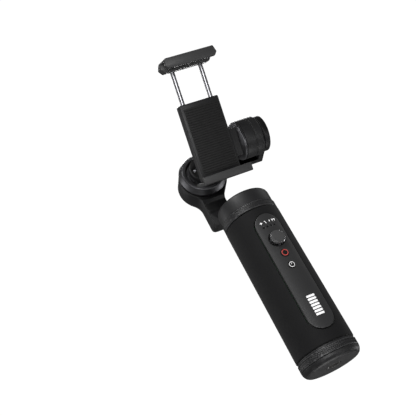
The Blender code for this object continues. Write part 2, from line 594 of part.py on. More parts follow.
def build_clamp():
    """The fixed half of the clamp, drawn upright: the phone's back is the plane y = -PHONE_BACK."""
    half = CLAMP_WIDTH / 2
    front, back = -PHONE_BACK + PAD + FIT_GAP, -6.3 * MM
    floor = PHONE_BOTTOM - PAD - FIT_GAP
    top = 33.2 * MM
    corner, far = (clamp_x(-half + 3 * MM), front, floor + 0.2 * MM), (clamp_x(half - 3 * MM), back, top)
    body = box("clamp_body", corner, far, BLACK_PLASTIC, CLAMP, bevel=1.0 * MM)
    lug = rod("tilt_lug", 9.5 * MM, 12.0 * MM, TILT_ROTOR_FACE - FIT_GAP, None, TILT, sides=32)
    boolean(body, lug, "UNION")
    web_end = TILT_ROTOR_FACE - 0.4 * MM
    web = box("lug_web", (clamp_x(4 * MM), front + 1 * MM, -9.4 * MM), (web_end, 0, 9.4 * MM), None, CLAMP)
    boolean(body, web, "UNION")
    rod_depth = (front + back) / 2
    for side in (-1, 1):
        place = Matrix.Translation((clamp_x(side * ROD_SPACING / 2), rod_depth, 0))
        low, high = PHONE_BOTTOM + 0.8 * MM, top + 5 * MM
        boolean(body, rod(f"rod_bore_{side}", ROD_RADIUS + FIT_GAP, low, high, None, CLAMP, place, 20))
    pad_half = half - 5 * MM
    corner = (clamp_x(-pad_half), -PHONE_BACK, -14 * MM)
    box("back_pad", corner, (clamp_x(pad_half), -PHONE_BACK + PAD, 30 * MM), RUBBER, CLAMP)
    lip_back = -PHONE_BACK - PHONE_THICKNESS - LIP_GAP
    lip_front = lip_back - JAW_LIP
    jaw_low = floor - 2.0 * MM
    jaw = [
        (back, jaw_low), (back, floor), (lip_back, floor), (lip_back, PHONE_BOTTOM + 2.3 * MM),
        (lip_front + 0.6 * MM, PHONE_BOTTOM + 2.3 * MM), (lip_front, PHONE_BOTTOM + 1.7 * MM),
        (lip_front, jaw_low + 0.6 * MM), (lip_front + 0.6 * MM, jaw_low),
    ]
    plate("lower_jaw", jaw, clamp_x(-half), clamp_x(half), BLACK_PLASTIC, CLAMP, SIDE_ON)
    box(
        "lower_pad", (clamp_x(-half + 1 * MM), lip_back + LIP_GAP, floor + FIT_GAP),
        (clamp_x(half - 1 * MM), -PHONE_BACK - 0.2 * MM, PHONE_BOTTOM), RUBBER, CLAMP,
    )


def build_upper_jaw():
    """The sliding jaw: a bar over the phone's top edge, a lip with cut corners, and its two rods."""
    half = CLAMP_WIDTH / 2
    front, back = -PHONE_BACK + PAD + FIT_GAP, -6.3 * MM
    phone_top = PHONE_BOTTOM + PHONE_WIDTH
    roof, crown = phone_top + PAD + FIT_GAP, phone_top + PAD + FIT_GAP + 1.7 * MM
    lip_back = -PHONE_BACK - PHONE_THICKNESS - LIP_GAP
    lip_front = lip_back - JAW_LIP
    section = [
        (back, phone_top - 4.5 * MM), (back, crown - 1 * MM), (back - 1 * MM, crown),
        (lip_front + 0.5 * MM, crown), (lip_front, crown - 0.5 * MM),
        (lip_front, phone_top - 3.9 * MM), (lip_back, phone_top - 3.9 * MM),
        (lip_back, roof), (front, roof), (front, phone_top - 4.5 * MM),
    ]
    left, right = clamp_x(-half - 1 * MM), clamp_x(half + 1 * MM)
    jaw = plate("upper_jaw", section, left, right, BLACK_PLASTIC, CLAMP, SIDE_ON)
    face = [
        (clamp_x(-half + 0.6 * MM), crown + 0.2 * MM), (clamp_x(-half - 0.9 * MM), phone_top - 1.6 * MM),
        (clamp_x(-half + 1.6 * MM), phone_top - 4.8 * MM), (clamp_x(half - 1.6 * MM), phone_top - 4.8 * MM),
        (clamp_x(half + 0.9 * MM), phone_top - 1.6 * MM), (clamp_x(half - 0.6 * MM), crown + 0.2 * MM),
    ]
    boolean(jaw, plate("jaw_outline", face, 0, 40 * MM, None, CLAMP, OUTWARD), "INTERSECT")
    rod_depth = (front + back) / 2
    for i, side in enumerate((-1, 1)):
        place = Matrix.Translation((clamp_x(side * ROD_SPACING / 2), rod_depth, 0))
        socket = rod(
            f"rod_socket_{side}", ROD_RADIUS + FIT_GAP, 50 * MM, phone_top - 1 * MM, None, CLAMP, place, 20
        )
        boolean(jaw, socket)
        rod(f"guide_rod_{i + 1}", ROD_RADIUS, 6.8 * MM, phone_top - 1.3 * MM, BRIGHT_STEEL, CLAMP, place, 16)
    box(
        "upper_pad", (clamp_x(-half + 2.5 * MM), lip_back + LIP_GAP, phone_top),
        (clamp_x(half - 2.5 * MM), -PHONE_BACK - 0.2 * MM, phone_top + PAD), RUBBER, CLAMP,
    )


build_bottom_cap()
build_shell()
build_panel()
build_button("record", RECORD_RADIUS, RECORD_HEIGHT)
build_button("power", POWER_RADIUS, POWER_HEIGHT)
build_joystick()
build_inside_of_grip()
build_pan_motor()
build_arm()
build_roll_motor()
build_roll_bracket()
build_tilt_motor()
build_clamp()
build_upper_jaw()
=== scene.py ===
"""Looks of the handheld three-axis phone gimbal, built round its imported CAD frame.

All sizes are in metres, in the row frame: the origin is the middle of the grip's base, +Z runs up the grip and +Y
points away from the person who looks at the control panel.
"""
import json
import math

import bmesh
import bpy
from mathutils import Matrix, Vector
from mathutils.bvhtree import BVHTree


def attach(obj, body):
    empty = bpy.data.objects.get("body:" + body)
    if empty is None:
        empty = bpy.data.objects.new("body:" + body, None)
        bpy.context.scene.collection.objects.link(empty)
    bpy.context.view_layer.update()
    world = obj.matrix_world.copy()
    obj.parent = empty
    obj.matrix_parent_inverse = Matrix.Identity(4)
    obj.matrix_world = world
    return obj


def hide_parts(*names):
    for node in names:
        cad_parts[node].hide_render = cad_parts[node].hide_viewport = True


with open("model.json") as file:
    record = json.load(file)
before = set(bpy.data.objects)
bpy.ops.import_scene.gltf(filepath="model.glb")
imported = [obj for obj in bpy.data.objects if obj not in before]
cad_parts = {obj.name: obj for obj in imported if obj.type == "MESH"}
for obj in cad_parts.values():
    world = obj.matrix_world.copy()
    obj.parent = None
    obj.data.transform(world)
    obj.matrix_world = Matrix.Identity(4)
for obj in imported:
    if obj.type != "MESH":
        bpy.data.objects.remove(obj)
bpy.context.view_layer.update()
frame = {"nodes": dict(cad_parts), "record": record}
MM = 0.001

JOINTS = {joint["name"]: joint for joint in frame["record"]["behaviour"]["joints"]}
BODY_OF = {node: body for body, nodes in frame["record"]["behaviour"]["bodies"].items() for node in nodes}
ROLL_AXIS = Vector(JOINTS["roll"]["pos_m"])
TILT_AXIS = Vector(JOINTS["tilt"]["pos_m"])

# Frames that the pieces are drawn in, and the one that draws an outline in Y and Z
ROOT = Matrix.Identity(4)
OUTWARD = Matrix.Rotation(math.pi / 2, 4, "X")  # turns a piece's own +Z to -Y
PANEL = Matrix.Rotation(math.radians(3.0), 4, "Z")
ROLL = Matrix.Translation((0, 0, ROLL_AXIS.z)) @ OUTWARD
TILT = Matrix.Translation((0, TILT_AXIS.y, TILT_AXIS.z)) @ Matrix.Rotation(math.pi / 2, 4, "Y")
CLAMP = Matrix.Translation((0, TILT_AXIS.y, TILT_AXIS.z)) @ Matrix.Rotation(math.radians(32.6), 4, "X")
SIDE_ON = Matrix(((0, 0, 1, 0), (1, 0, 0, 0), (0, 1, 0, 0), (0, 0, 0, 1)))

PANEL_RADIUS = 18.5 * MM
ROUND = 144  # sides of a large turned piece
FINE = 64  # sides of a small one
SHARP_ANGLE = 38  # degrees between faces, above which an edge is shaded sharp

# Heights up the grip and sizes on the control panel, in millimetres
LIGHT_HEIGHT = 84.2
STICK_HEIGHT = 74.9
RECORD_HEIGHT = 65.1
POWER_HEIGHT = 56.9
KEY_TOP = 18.85  # from the pan axis to a key's face
THREAD_PITCH = 1.27


# --- Materials ---------------------------------------------------------------------------------------------------
def scaled(colour, factor):
    return tuple(min(1.0, channel * factor) for channel in colour) + (1.0,)


class Look:
    """A Principled material whose colour, roughness and bump all vary over the surface."""

    def __init__(self, name, colour, roughness, metallic=0.0, mottle=(8.0, 0.15), grain=(0.25, 0.012), spread=0.06,
                 specular=0.5):
        self.made = bpy.data.materials.new(name)
        self.made.use_nodes = True
        self.nodes, self.links = self.made.node_tree.nodes, self.made.node_tree.links
        self.shader = self.nodes["Principled BSDF"]
        self.shader.inputs["Metallic"].default_value = metallic
        self.shader.inputs["Specular IOR Level"].default_value = specular
        self.place = self.nodes.new("ShaderNodeTexCoord").outputs["Object"]
        self.colour = self.mix(self.noise(mottle[0]), scaled(colour, 1 - mottle[1]), scaled(colour, 1 + mottle[1]))
        fine = self.noise(grain[0], 4.0)
        broad = self.noise(mottle[0] * 0.6, 2.0)
        both = self.math("ADD", fine, broad)
        self.rough = self.ranged(both, 0.6, 1.4, roughness - spread, roughness + spread)
        self.height = None
        self.bump(fine, grain[1])

    def noise(self, size, detail=3.0):
        """Noise whose blotches are about size millimetres across."""
        made = self.nodes.new("ShaderNodeTexNoise")
        made.inputs["Scale"].default_value = 1 / (size * MM)
        made.inputs["Detail"].default_value = detail
        self.links.new(self.place, made.inputs["Vector"])
        return made.outputs["Fac"]

    def math(self, operation, first, second):
        made = self.nodes.new("ShaderNodeMath")
        made.operation = operation
        for socket, value in zip(made.inputs, (first, second)):
            if isinstance(value, float):
                socket.default_value = value
            else:
                self.links.new(value, socket)
        return made.outputs[0]

    def ranged(self, value, low, high, first, last):
        made = self.nodes.new("ShaderNodeMapRange")
        self.links.new(value, made.inputs["Value"])
        for socket, number in zip(("From Min", "From Max", "To Min", "To Max"), (low, high, first, last)):
            made.inputs[socket].default_value = number
        return made.outputs["Result"]

    def mix(self, factor, first, second):
        """Blends two colours, each a constant or another node's output."""
        made = self.nodes.new("ShaderNodeMix")
        made.data_type = "RGBA"
        self.links.new(factor, made.inputs["Factor"])
        for socket, value in ((made.inputs[6], first), (made.inputs[7], second)):
            if isinstance(value, tuple):
                socket.default_value = value
            else:
                self.links.new(value, socket)
        return made.outputs[2]

    def bump(self, height, depth):
        """Adds relief of that depth, in millimetres."""
        made = self.nodes.new("ShaderNodeBump")
        made.inputs["Distance"].default_value = depth * MM
        self.links.new(height, made.inputs["Height"])
        if self.height:
            self.links.new(self.height, made.inputs["Normal"])
        self.height = made.outputs["Normal"]

    def edges(self, colour, strength=0.6):
        """Rubs the raised edges lighter, as wear; at full strength, as on the knurl, the lighter tips are a
        painted highlight.
        """
        point = self.nodes.new("ShaderNodeNewGeometry").outputs["Pointiness"]
        wear_and_highlight = self.math("MULTIPLY", self.ranged(point, 0.52, 0.62, 0.0, strength), self.noise(1.5))
        self.colour = self.mix(wear_and_highlight, self.colour, colour)
        return self

    def painted_groove_shade(self, colour):
        """Paints shade into the bottoms of grooves, a darker colour where the surface is hollow."""
        point = self.nodes.new("ShaderNodeNewGeometry").outputs["Pointiness"]
        self.colour = self.mix(self.ranged(point, 0.42, 0.50, 1.0, 0.0), self.colour, colour)
        return self

    def painted_front_shade(self, colour):
        """Painted shade: another, darker colour on the faces that look towards -Y."""
        split = self.nodes.new("ShaderNodeSeparateXYZ")
        self.links.new(self.nodes.new("ShaderNodeTexCoord").outputs["Normal"], split.inputs[0])
        front = self.ranged(split.outputs["Y"], -0.9, -0.7, 1.0, 0.0)
        self.colour = self.mix(front, self.colour, colour)
        return self

    def turned(self, pitch, depth):
        """Fine rings round the piece's own Z, as a lathe leaves."""
        wave = self.nodes.new("ShaderNodeTexWave")
        wave.wave_type, wave.rings_direction = "RINGS", "Z"
        wave.inputs["Scale"].default_value = math.tau / (20 * pitch * MM)
        wave.inputs["Distortion"].default_value = 0.6
        self.links.new(self.place, wave.inputs["Vector"])
        self.bump(wave.outputs["Fac"], depth)
        self.colour = self.mix(self.math("MULTIPLY", wave.outputs["Fac"], 0.35), self.colour, (0.0, 0.0, 0.0, 1.0))
        return self

    def bands(self, pitch, depth, direction="X"):
        """Straight parallel ridges across that axis."""
        wave = self.nodes.new("ShaderNodeTexWave")
        wave.bands_direction = direction
        wave.inputs["Scale"].default_value = math.tau / (20 * pitch * MM)
        wave.inputs["Distortion"].default_value = 0.4
        self.links.new(self.place, wave.inputs["Vector"])
        self.bump(wave.outputs["Fac"], depth)
        return self

    def done(self, **settings):
        """Joins the nodes to the shader; settings are constants for its sockets, with _ for a space."""
        self.links.new(self.colour, self.shader.inputs["Base Color"])
        self.links.new(self.rough, self.shader.inputs["Roughness"])
        self.links.new(self.height, self.shader.inputs["Normal"])
        for name, value in settings.items():
            self.shader.inputs[name.replace("_", " ")].default_value = value
        return self.made


SOFT = Look("soft_touch", (0.0098, 0.0098, 0.0103), 0.68, mottle=(14.0, 0.16), grain=(0.16, 0.005), specular=0.16)
SOFT = SOFT.done(Sheen_Weight=0.05, Sheen_Roughness=0.5)
PLASTIC = Look("moulded_black", (0.015, 0.015, 0.016), 0.46, mottle=(9.0, 0.18), grain=(0.30, 0.016))
PLASTIC = PLASTIC.edges((0.05, 0.05, 0.052, 1.0)).done()
ARM = Look("arm_black", (0.014, 0.014, 0.015), 0.40, mottle=(9.0, 0.18), grain=(0.30, 0.008), specular=0.35)
# The arm's faces towards -Y get a painted shade, a much darker colour that stands in for the shadow on its front.
ARM = ARM.painted_front_shade((0.0022, 0.0022, 0.0024, 1.0)).edges((0.04, 0.04, 0.041, 1.0)).done()
CHROME = Look("dark_chrome", (0.50, 0.50, 0.51), 0.24, 1.0, (2.0, 0.10), (0.12, 0.001), 0.04).done()
KNURL = Look("knurled_black", (0.020, 0.020, 0.021), 0.36, mottle=(6.0, 0.2), grain=(0.20, 0.008))
# Painted shade darkens the knurl's groove bottoms, and a painted highlight lightens its diamond tips.
KNURL = KNURL.painted_groove_shade((0.0008, 0.0008, 0.0008, 1.0)).edges((0.15, 0.15, 0.153, 1.0), 1.0).done()
SATIN = Look("satin_panel", (0.034, 0.034, 0.035), 0.38, mottle=(18.0, 0.10), grain=(0.18, 0.005), spread=0.05)
SATIN = SATIN.done(Coat_Weight=0.08, Coat_Roughness=0.3)
KEY = Look("key_black", (0.008, 0.008, 0.0085), 0.40, mottle=(3.0, 0.15), grain=(0.15, 0.005)).done()
STICK = Look("stick_cap", (0.085, 0.085, 0.086), 0.42, mottle=(3.0, 0.10), grain=(0.14, 0.008))
STICK = STICK.turned(0.30, 0.004).done()
CLAMP_GREY = Look("clamp_dark_grey", (0.050, 0.050, 0.051), 0.42, mottle=(9.0, 0.14), grain=(0.26, 0.014))
CLAMP_GREY = CLAMP_GREY.edges((0.09, 0.09, 0.092, 1.0)).done()
TURNED = Look("turned_dark_aluminium", (0.19, 0.19, 0.20), 0.36, 1.0, (5.0, 0.12), (0.12, 0.004), 0.05)
TURNED = TURNED.turned(0.22, 0.006)
TANGENT = TURNED.nodes.new("ShaderNodeTangent")
TANGENT.direction_type, TANGENT.axis = "RADIAL", "Z"
TURNED.links.new(TANGENT.outputs[0], TURNED.shader.inputs["Tangent"])
TURNED = TURNED.done(Anisotropic=0.55)
ALUMINIUM = Look("dark_aluminium", (0.10, 0.10, 0.11), 0.34, 1.0, (5.0, 0.12), (0.15, 0.006)).done()
STEEL = Look("bright_steel", (0.42, 0.42, 0.44), 0.28, 1.0, (4.0, 0.08), (0.10, 0.003)).done()
COPPER = Look("copper_winding", (0.62, 0.27, 0.12), 0.32, 1.0, (2.0, 0.15), (0.2, 0.01))
COPPER = COPPER.bands(0.35, 0.10, "Z").done()
MAGNET = Look("magnet_nickel", (0.45, 0.44, 0.42), 0.30, 1.0, (4.0, 0.08), (0.2, 0.006)).done()
RUBBER = Look("pad_rubber", (0.020, 0.020, 0.020), 0.78, mottle=(4.0, 0.2), grain=(0.18, 0.02), specular=0.35)
RUBBER = RUBBER.done()
CIRCUIT = Look("circuit_green", (0.02, 0.10, 0.04), 0.45, mottle=(1.6, 0.5), grain=(0.4, 0.02))
CIRCUIT = CIRCUIT.bands(1.1, 0.02).done()
WRAP = Look("battery_wrap", (0.05, 0.20, 0.45), 0.38, mottle=(12.0, 0.06), grain=(0.6, 0.01)).done()
PIPE = Look("smoked_light_pipe", (0.006, 0.006, 0.007), 0.16, mottle=(1.0, 0.2), grain=(0.3, 0.002), spread=0.03)
PIPE = PIPE.done()
BRASS = Look("brass_insert", (0.21, 0.205, 0.20), 0.30, 1.0, (2.0, 0.10), (0.15, 0.006)).turned(0.2, 0.004).done()
# The white print glows a little by emission: a painted glow, as print gives no light of its own.
WHITE_PRINT_GLOW = Look("printed_white_painted_glow", (0.92, 0.92, 0.92), 0.50, mottle=(0.8, 0.04), grain=(0.12, 0.002), spread=0.05)
WHITE_PRINT_GLOW = WHITE_PRINT_GLOW.done(Emission_Color=(1.0, 1.0, 1.0, 1.0), Emission_Strength=0.35)
# The red print glows a little by emission: a painted glow, as print gives no light of its own.
RED_PRINT_GLOW = Look("printed_red_painted_glow", (0.60, 0.09, 0.08), 0.42, mottle=(0.8, 0.10), grain=(0.12, 0.002), spread=0.05)
RED_PRINT_GLOW = RED_PRINT_GLOW.done(Emission_Color=(0.8, 0.08, 0.06, 1.0), Emission_Strength=0.15)

SLOT_LOOKS = {
    "soft_touch_black": SOFT, "black_plastic": PLASTIC, "panel_black": SATIN, "dark_aluminium": ALUMINIUM,
    "bright_steel": STEEL, "copper_winding": COPPER, "magnet_nickel": MAGNET, "grip_rubber": RUBBER,
    "circuit_green": CIRCUIT, "battery_wrap": WRAP, "light_pipe": PIPE, "brass_insert": BRASS,
}


# --- Shapes ------------------------------------------------------------------------------------------------------
def mm(*pairs):
    """Points given in millimetres."""
    return [tuple(value * MM for value in pair) for pair in pairs]


def arc(centre, radius, first, last, steps):
    """Points along an arc, angles in degrees."""
    turns = [math.radians(first + (last - first) * i / steps) for i in range(steps + 1)]
    return [(centre[0] + radius * math.cos(t), centre[1] + radius * math.sin(t)) for t in turns]


def stadium(width, bottom, top, steps=24):
    radius = width / 2
    return arc((0, bottom + radius), radius, 180, 360, steps) + arc((0, top - radius), radius, 0, 180, steps)


def filleted(points, radius, closed=False, steps=3):
    """The line with its corners rounded."""
    done = []
    for i, point in enumerate(points):
        if not closed and i in (0, len(points) - 1):
            done.append(tuple(point))
            continue
        corner = Vector(point)
        back, ahead = Vector(points[i - 1]) - corner, Vector(points[(i + 1) % len(points)]) - corner
        bend = math.pi - back.angle(ahead)
        cut = min(radius * math.tan(bend / 2), 0.45 * back.length, 0.45 * ahead.length)
        if bend < math.radians(12):
            done.append(tuple(point))
            continue
        start, end = corner + back.normalized() * cut, corner + ahead.normalized() * cut
        for k in range(steps + 1):
            t = k / steps
            done.append(tuple((1 - t) ** 2 * start + 2 * t * (1 - t) * corner + t * t * end))
    return done


def add(name, shape, look, place, body, nodes=(), angle=SHARP_ANGLE):
    """Makes the bmesh a piece that rides a body and stands for those CAD nodes."""
    mesh = bpy.data.meshes.new(name)
    bmesh.ops.recalc_face_normals(shape, faces=shape.faces)
    shape.to_mesh(mesh)
    shape.free()
    mesh.materials.append(look)
    mesh.shade_smooth()
    mesh.set_sharp_from_angle(angle=math.radians(angle))
    item = bpy.data.objects.new(name, mesh)
    bpy.context.scene.collection.objects.link(item)
    item.matrix_world = place
    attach(item, body)
    if nodes:
        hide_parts(*nodes)
    return item


def turned_shape(profile, sides, ring=False, relief=None):
    """A profile of (radius, height) turned round Z. relief gives the outward shift at an angle and height."""
    shape = bmesh.new()
    rows = []
    for radius, height in profile:
        if radius < 1e-7:
            rows.append([shape.verts.new((0, 0, height))])
            continue
        row = []
        for k in range(sides):
            turn = math.tau * k / sides
            reach = radius + (relief(turn, radius, height) if relief else 0.0)
            row.append(shape.verts.new((reach * math.cos(turn), reach * math.sin(turn), height)))
        rows.append(row)
    for low, high in zip(rows, rows[1:] + (rows[:1] if ring else [])):
        for k in range(sides):
            near, far = k, (k + 1) % sides
            if len(low) == 1 and len(high) == 1:
                continue
            if len(low) == 1:
                shape.faces.new((low[0], high[near], high[far]))
            elif len(high) == 1:
                shape.faces.new((low[near], high[0], low[far]))
            else:
                shape.faces.new((low[near], high[near], high[far], low[far]))
    return shape


def turned(name, profile, look, place, body, nodes=(), sides=ROUND, ring=False, edge=0.25):
    shape = turned_shape(filleted(profile, edge * MM, ring), sides, ring)
    return add(name, shape, look, place, body, nodes)


def drawn_shape(outlines, low, high, edge=0.0):
    """Flat outlines, holes included, from low to high along Z, with a rounded edge."""
    flat = bpy.data.curves.new("outline", "CURVE")
    flat.dimensions, flat.fill_mode = "2D", "BOTH"
    flat.extrude = (high - low) / 2 - edge
    flat.bevel_depth, flat.bevel_resolution, flat.offset = edge, 2, -edge
    for outline in outlines:
        spline = flat.splines.new("POLY")
        spline.points.add(len(outline) - 1)
        for point, (x, y) in zip(spline.points, outline):
            point.co = (x, y, 0, 1)
        spline.use_cyclic_u = True
    holder = bpy.data.objects.new("outline", flat)
    bpy.context.scene.collection.objects.link(holder)
    bpy.context.view_layer.update()
    mesh = bpy.data.meshes.new_from_object(holder.evaluated_get(bpy.context.evaluated_depsgraph_get()))
    bpy.data.objects.remove(holder, do_unlink=True)
    shape = bmesh.new()
    shape.from_mesh(mesh)
    bmesh.ops.remove_doubles(shape, verts=shape.verts, dist=1e-6)
    bmesh.ops.translate(shape, verts=shape.verts, vec=(0, 0, (low + high) / 2))
    bpy.data.meshes.remove(mesh)
    return shape


def wrapped_shape(outlines, low, high, edge=0.0, step=0.6):
    """A drawn shape wrapped round the control panel: x runs across it, y up the grip, and z out of its surface."""
    shape = drawn_shape(outlines, low, high, edge)
    reach = max(abs(vert.co.x) for vert in shape.verts)
    count = int(reach / (step * MM))
    for k in range(-count, count + 1):
        everything = list(shape.verts) + list(shape.edges) + list(shape.faces)
        across = (k * step * MM, 0, 0)
        bmesh.ops.bisect_plane(shape, geom=everything, plane_co=across, plane_no=(1, 0, 0), dist=1e-7)
    for vert in shape.verts:
        turn = math.asin(vert.co.x / PANEL_RADIUS)
        radius = PANEL_RADIUS + vert.co.z
        vert.co = (radius * math.sin(turn), -radius * math.cos(turn), vert.co.y)
    return shape


def cut(item, shape, place, operation="DIFFERENCE"):
    """Takes a shape away from a piece, in place."""
    mesh = bpy.data.meshes.new("cutter")
    bmesh.ops.recalc_face_normals(shape, faces=shape.faces)
    shape.to_mesh(mesh)
    shape.free()
    cutter = bpy.data.objects.new("cutter", mesh)
    bpy.context.scene.collection.objects.link(cutter)
    cutter.matrix_world = place
    step = item.modifiers.new("Cut", "BOOLEAN")
    step.operation, step.solver, step.object = operation, "EXACT", cutter
    bpy.context.view_layer.update()
    result = bpy.data.meshes.new_from_object(item.evaluated_get(bpy.context.evaluated_depsgraph_get()))
    item.modifiers.clear()
    item.data = result
    bpy.data.objects.remove(cutter, do_unlink=True)
    result.shade_smooth()
    result.set_sharp_from_angle(angle=math.radians(SHARP_ANGLE))
    return item


def join_flats(shape):
    """Joins vertices that coincide and faces that lie in one plane."""
    bmesh.ops.remove_doubles(shape, verts=shape.verts, dist=2e-6)
    bmesh.ops.dissolve_limit(shape, angle_limit=math.radians(1), verts=shape.verts, edges=shape.edges)


def polished(name, nodes, look, width=0.3, cuts=(), angle=30):
    """The CAD node's own shape, less the cuts (shape and place), its flat faces joined and its edges rounded."""
    node = nodes[0]
    shape = bmesh.new()
    shape.from_mesh(frame["nodes"][node].data)
    for layer in list(shape.loops.layers.float_vector.values()):
        shape.loops.layers.float_vector.remove(layer)
    join_flats(shape)
    if cuts:
        mesh = bpy.data.meshes.new("blank")
        shape.to_mesh(mesh)
        shape.clear()
        blank = bpy.data.objects.new("blank", mesh)
        bpy.context.scene.collection.objects.link(blank)
        for cutter, place in cuts:
            cut(blank, cutter, place)
        shape.from_mesh(blank.data)
        bpy.data.objects.remove(blank, do_unlink=True)
        join_flats(shape)
    surface = BVHTree.FromBMesh(shape)
    sharp = [e for e in shape.edges if len(e.link_faces) == 2 and e.calc_face_angle() > math.radians(angle)]
    bmesh.ops.bevel(
        shape, geom=sharp, offset=width * MM, offset_type="OFFSET", segments=3, profile=0.5, affect="EDGES",
        clamp_overlap=False, miter_outer="ARC",
    )
    for vert in shape.verts:  # the bevel throws a corner off the surface where short edges meet
        nearest, _, _, distance = surface.find_nearest(vert.co)
        if distance > 0.5 * width * MM:
            vert.co = nearest
    return add(name, shape, look, ROOT, BODY_OF[node], nodes)


def knurled(name, radius, inner, low, high, look, body, nodes, pitch=1.3, depth=0.42):
    """A belt whose outer face is cut with two crossing sets of fine grooves, which leave small diamonds."""
    teeth = round(math.tau * radius / (pitch * MM))
    rows = round((high - low) / (pitch * MM) * 4)
    margin = pitch * MM / 2

    def relief(turn, reach, height):
        if reach < radius - depth * MM * 0.5 or height < low + margin or height > high - margin:
            return 0.0
        around, along = turn / math.tau * teeth, (height - low) / (pitch * MM)
        first, second = (abs((around + sign * along) % 1.0 - 0.5) * 2 for sign in (1, -1))
        return (min(first, second) * 1.3 - 1.0) * depth * MM if min(first, second) < 0.77 else 0.0

    chamfer = 0.3 * MM
    outer = [(radius, high - chamfer + (low - high + 2 * chamfer) * i / rows) for i in range(rows + 1)]
    profile = [(inner, high), (radius - chamfer, high)] + outer + [(radius - chamfer, low), (inner, low)]
    return add(name, turned_shape(profile, teeth * 4, True, relief), look, ROOT, body, nodes, 60)


# --- Grip --------------------------------------------------------------------------------------------------------
def grip():
    sleeve = turned(
        "grip_sleeve", mm((17.6, 98.3), (18, 97.9), (18, 9.7), (17.6, 9.3), (15.8, 9.3), (15.8, 98.3)), SOFT, ROOT,
        "grip", ["handle_shell"], 192, True,
    )
    window = drawn_shape([stadium(16.9 * MM, 15.95 * MM, 93.55 * MM)], 10 * MM, 22 * MM)
    cut(sleeve, window, PANEL @ OUTWARD)
    port = drawn_shape([filleted(mm((-4.6, 22), (4.6, 22), (4.6, 25.6), (-4.6, 25.6)), 1.4 * MM, True)],
                       -22 * MM, -12 * MM)
    cut(sleeve, port, PANEL @ OUTWARD)
    polished("charge_port_shell", ["charge_port"], STEEL, 0.1)
    turned(
        "base_cap", mm(
            (0, 7.9), (5.2, 7.9), (5.2, 12.5), (15.5, 12.5), (15.5, 9), (17.5, 9), (17.5, 8.1), (17.2, 8.1),
            (17.2, 3.7), (17.95, 3.4), (17.5, 2.0), (16.7, 0.7), (15.6, 0), (15.2, 0.12), (4.9, 0.12),
            (4.6, 0.35), (4.6, 7), (0, 7),
        ), PLASTIC, ROOT, "grip", ["bottom_cap"], 160, edge=0.22,
    )
    knurled("base_knurl", 18 * MM, 17.2 * MM, 3.75 * MM, 8.0 * MM, KNURL, "grip", ["bottom_cap"])
    thread = []  # rings in place of a helix
    for i in range(4):
        low = (5.9 - THREAD_PITCH * i) * MM
        thread += [(3.15 * MM, low - 0.1 * MM), (2.78 * MM, low - 0.6 * MM), (2.78 * MM, low - 0.75 * MM)]
    insert = mm((0, 6.7), (4.3, 6.7), (4.3, 0.2), (3.6, 0.2)) + thread[::-1] + mm((2.78, 6.0), (0, 6.0))
    turned("tripod_thread", insert, BRASS, ROOT, "grip", ["tripod_insert"], FINE, edge=0.08)


def panel():
    """The plate with its holes, and the rubber in the groove round it."""
    def round_hole(x, z, radius, steps):
        return arc((x * MM, z * MM), radius * MM, 0, -360 + 360 / steps, steps - 1)

    outlines = [
        stadium(15.8 * MM, 16.5 * MM, 93 * MM), round_hole(0, STICK_HEIGHT, 4.9, 64),
        round_hole(0, RECORD_HEIGHT, 2.5, 40), round_hole(0, POWER_HEIGHT, 2.25, 40),
    ]
    outlines += [round_hole(x, LIGHT_HEIGHT, 0.62, 20) for x in (-3.6, -1.2, 1.2, 3.6)]
    shape = wrapped_shape(outlines, -2.3 * MM, 0, 0.22 * MM, 0.5)
    add("panel_plate", shape, SATIN, PANEL, "grip", ["control_panel"])
    rings = [stadium(17.0 * MM, 15.9 * MM, 93.6 * MM), stadium(14.6 * MM, 17.1 * MM, 92.4 * MM)[::-1]]
    add("panel_gasket", wrapped_shape(rings, -2.9 * MM, -2.34 * MM), RUBBER, PANEL, "grip")


def mark(name, outlines, x, z, look=WHITE_PRINT_GLOW, size=1.0):
    """Thin print on the panel, its outlines drawn in millimetres round (x, z)."""
    placed = [[((x + u * size) * MM, (z + v * size) * MM) for u, v in outline] for outline in outlines]
    add(name, wrapped_shape(placed, -0.01 * MM, 0.035 * MM, 0.0, 0.4), look, PANEL, "grip")


def marks():
    """Four mode symbols over the lights, and a plain battery scale low on the panel."""
    points = [(t * math.pi / 4, 1.15 if t % 2 == 0 else 0.42) for t in range(8)]
    star = [(math.sin(turn) * reach, math.cos(turn) * reach) for turn, reach in points]
    slant = [(-0.55, 0.95), (-0.15, 1.1), (0.6, -0.9), (0.2, -1.05)]
    lozenge = [(-0.02, 1.1), (0.33, 0.0), (0.02, -1.1), (-0.33, 0.0)]
    arrows = [[(x - 0.62, 0.8), (x + 0.62, 0.8), (x, -0.95)] for x in (-0.74, 0.74)]
    for i, (symbol, x) in enumerate(zip(([star], [slant], [lozenge], arrows), (-3.9, -1.2, 1.6, 4.3))):
        mark(f"mode_symbol_{i + 1}", symbol, x, 87.3, size=0.9)
    bars = []
    for i in range(7):
        low = -6.3 + 1.85 * i
        bars.append(filleted([(-2.55, low), (2.55, low), (2.55, low + 1.25), (-2.55, low + 1.25)], 0.3, True))
    mark("battery_scale", bars, 0.25, 30.6)


def on_panel(height):
    """The frame of a piece that points out of the panel at that height."""
    return PANEL @ Matrix.Translation((0, 0, height * MM)) @ OUTWARD


